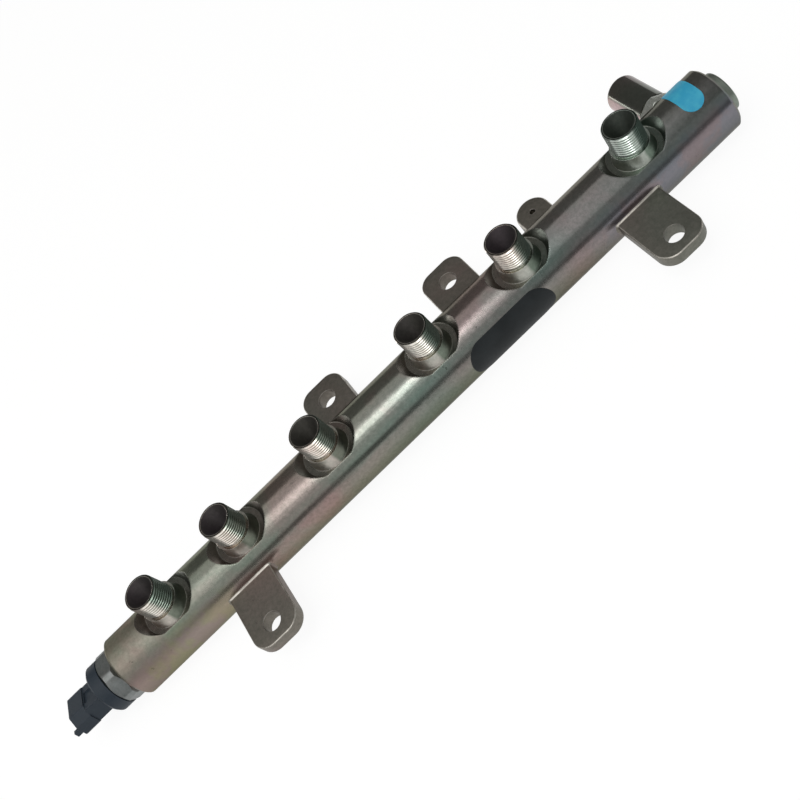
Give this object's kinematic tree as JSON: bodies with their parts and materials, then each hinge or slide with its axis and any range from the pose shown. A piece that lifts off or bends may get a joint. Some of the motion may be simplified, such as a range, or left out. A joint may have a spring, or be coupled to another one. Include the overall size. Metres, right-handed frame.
{
  "type": "fuel rail",
  "caption": "Forged steel common rail with threaded outlet nipples, mounting lugs, a pressure sensor in one end and a relief valve in its side.",
  "frame": {"origin": "on the rail's axis at the middle of the forging", "axes": "+X along the rail from the sensor to the end plug, +Z along the outlet nipples, +Y towards the relief valve"},
  "size_m": [0.4431, 0.1064, 0.0507],
  "materials": {
    "forged_steel": "yellow-grey zinc plating with a faint iridescent film",
    "turned_steel": "plated, semi-gloss",
    "sensor_steel": "plain turned, satin",
    "hardened_steel": "ground",
    "black_plastic": "moulded, satin",
    "circuit_board": "lacquered",
    "terminal_metal": "tinned",
    "seal_rubber": "moulded",
    "dark_label": "printed film, left bare",
    "blue_label": "printed film, left bare"
  },
  "bodies": {
    "rail": {"rail_body": "forged_steel", "end_plug": "turned_steel", "sensor_housing": "sensor_steel", "sensor_cell": "sensor_steel", "sensor_carrier": "black_plastic", "sensor_board": "circuit_board", "sensor_connector": "black_plastic", "sensor_terminal_1": "terminal_metal", "sensor_terminal_2": "terminal_metal", "sensor_terminal_3": "terminal_metal", "sensor_seal": "seal_rubber", "relief_valve_body": "turned_steel", "relief_valve_sleeve": "turned_steel", "relief_valve_seat": "hardened_steel", "relief_valve_spring": "hardened_steel", "relief_valve_shim": "hardened_steel", "oval_label": "dark_label", "blue_label": "blue_label"},
    "relief_piston": {"relief_valve_piston": "hardened_steel"}
  },
  "joints": [
    {"name": "relief_valve_lift", "type": "slide", "parent": "rail", "child": "relief_piston", "axis": [0, 0.9945, -0.1045], "range_m": [0, 0.0008], "stiffness_N_per_m": 2000, "springref_m": -0.001, "deforming": ["relief_valve_spring"]}
  ]
}
